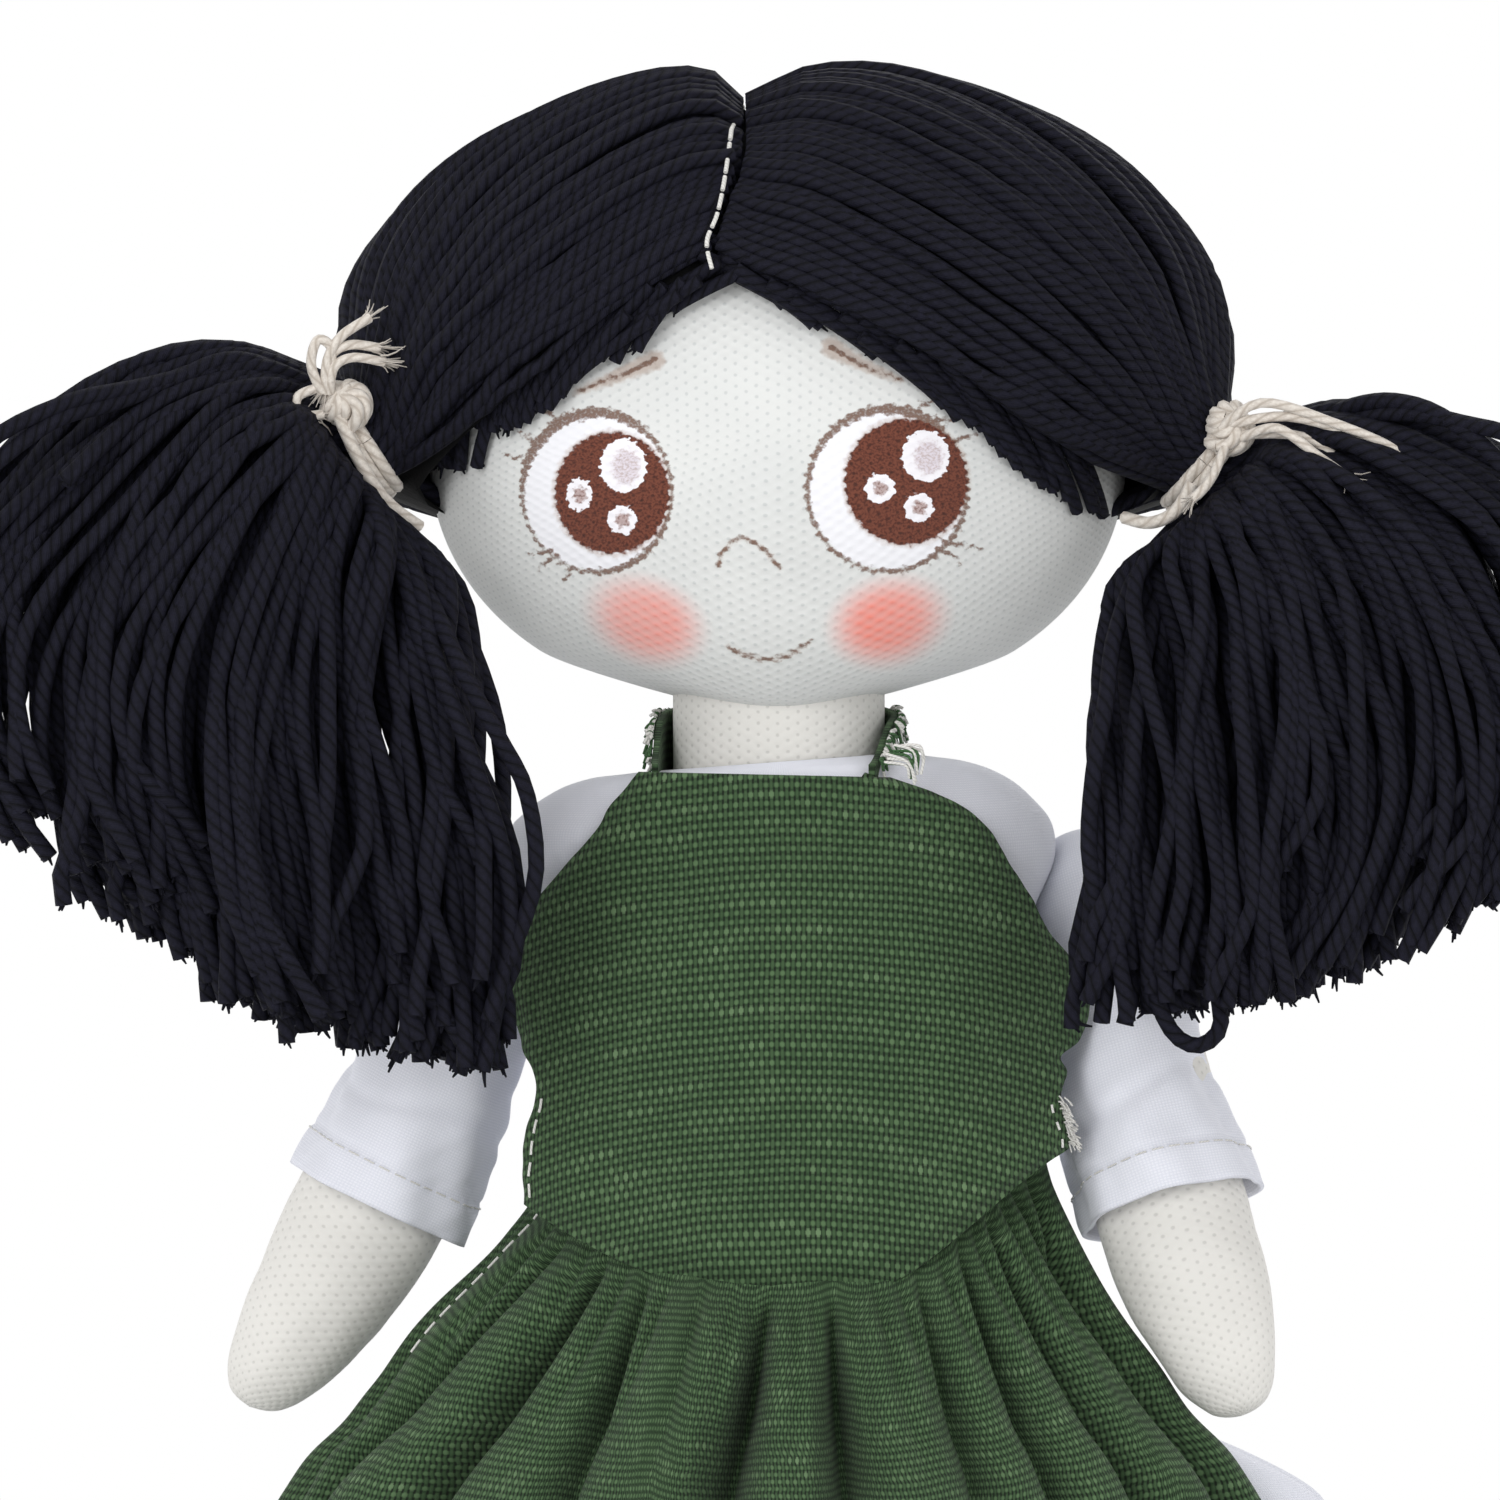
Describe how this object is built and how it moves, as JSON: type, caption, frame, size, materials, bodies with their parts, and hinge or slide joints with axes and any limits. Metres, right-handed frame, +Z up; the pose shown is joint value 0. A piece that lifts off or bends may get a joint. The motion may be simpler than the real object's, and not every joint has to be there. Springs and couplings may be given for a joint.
{
  "type": "rag doll",
  "caption": "Handmade rag doll with yarn bunches, stuffed knit body, cotton dress and linen apron; its head, hair, arms and legs move.",
  "frame": {"origin": "on the floor under the middle of the doll's outer box, level with the soles of the shoes", "axes": "+Z up along the doll's height, the face looks along -Y, +X points to the right as the doll is seen from the front; left and right in names are as seen from the front"},
  "size_m": [0.25, 0.1719, 0.3493],
  "materials": {
    "knit": "cream double knit, matt",
    "stuffing": "loose polyester fibre",
    "cotton": "cool white plain-weave cotton",
    "linen": "dark green coarse linen weave",
    "hair": "blue-black plied cotton yarn",
    "thread": "white sewing thread",
    "tie_yarn": "cream cotton yarn, frayed"
  },
  "bodies": {
    "torso": {"torso_casing": "knit", "torso_stuffing": "stuffing", "dress_bodice": "cotton", "dress_skirt": "cotton", "apron_skirt": "linen", "apron_bib": "linen", "neck_strap": "linen", "waist_tie": "linen", "waist_bow": "linen"},
    "neck": {"neck_casing": "knit", "neck_stuffing": "stuffing"},
    "head": {"head_casing": "knit", "head_stuffing": "stuffing", "hair_cap": "hair", "fringe_left": "hair", "fringe_right": "hair", "parting_stitches": "thread", "tie_left": "tie_yarn", "tie_right": "tie_yarn"},
    "pigtail_left": {"pigtail_left": "hair"},
    "pigtail_right": {"pigtail_right": "hair"},
    "shoulder_left": {"shoulder_seam_left": "thread"},
    "shoulder_right": {"shoulder_seam_right": "thread"},
    "arm_left": {"arm_left_casing": "knit", "arm_left_stuffing": "stuffing", "sleeve_left": "cotton"},
    "arm_right": {"arm_right_casing": "knit", "arm_right_stuffing": "stuffing", "sleeve_right": "cotton"},
    "leg_left": {"leg_left_casing": "knit", "leg_left_stuffing": "stuffing", "shoe_left": "linen"},
    "leg_right": {"leg_right_casing": "knit", "leg_right_stuffing": "stuffing", "shoe_right": "linen"}
  },
  "joints": [
    {"name": "neck_nod", "type": "hinge", "parent": "torso", "child": "neck", "pos_m": [-0.001, 0, 0.25], "axis": [1, 0, 0], "range_deg": [-5, 5]},
    {"name": "head_turn", "type": "hinge", "parent": "neck", "child": "head", "pos_m": [-0.001, 0, 0.261], "axis": [0, 0, 1], "range_deg": [-10, 10]},
    {"name": "pigtail_left_lift", "type": "hinge", "parent": "head", "child": "pigtail_left", "pos_m": [-0.06, -0.014, 0.296], "axis": [0, 1, 0], "range_deg": [0, 30]},
    {"name": "pigtail_right_lift", "type": "hinge", "parent": "head", "child": "pigtail_right", "pos_m": [0.06, -0.014, 0.293], "axis": [0, -1, 0], "range_deg": [0, 30]},
    {"name": "arm_left_swing", "type": "hinge", "parent": "torso", "child": "shoulder_left", "pos_m": [-0.042, 0.006, 0.23], "axis": [-1, 0, 0], "range_deg": [-60, 10]},
    {"name": "arm_left_raise", "type": "hinge", "parent": "shoulder_left", "child": "arm_left", "pos_m": [-0.042, 0.006, 0.23], "axis": [0, 1, 0], "range_deg": [0, 60]},
    {"name": "arm_right_swing", "type": "hinge", "parent": "torso", "child": "shoulder_right", "pos_m": [0.045, 0.006, 0.23], "axis": [-1, 0, 0], "range_deg": [-70, 0]},
    {"name": "arm_right_raise", "type": "hinge", "parent": "shoulder_right", "child": "arm_right", "pos_m": [0.045, 0.006, 0.23], "axis": [0, -1, 0], "range_deg": [0, 45]},
    {"name": "leg_left_swing", "type": "hinge", "parent": "torso", "child": "leg_left", "pos_m": [-0.0165, 0, 0.15], "axis": [-1, 0, 0], "range_deg": [-30, 30]},
    {"name": "leg_right_swing", "type": "hinge", "parent": "torso", "child": "leg_right", "pos_m": [0.0195, 0, 0.15], "axis": [-1, 0, 0], "range_deg": [-30, 30]}
  ]
}
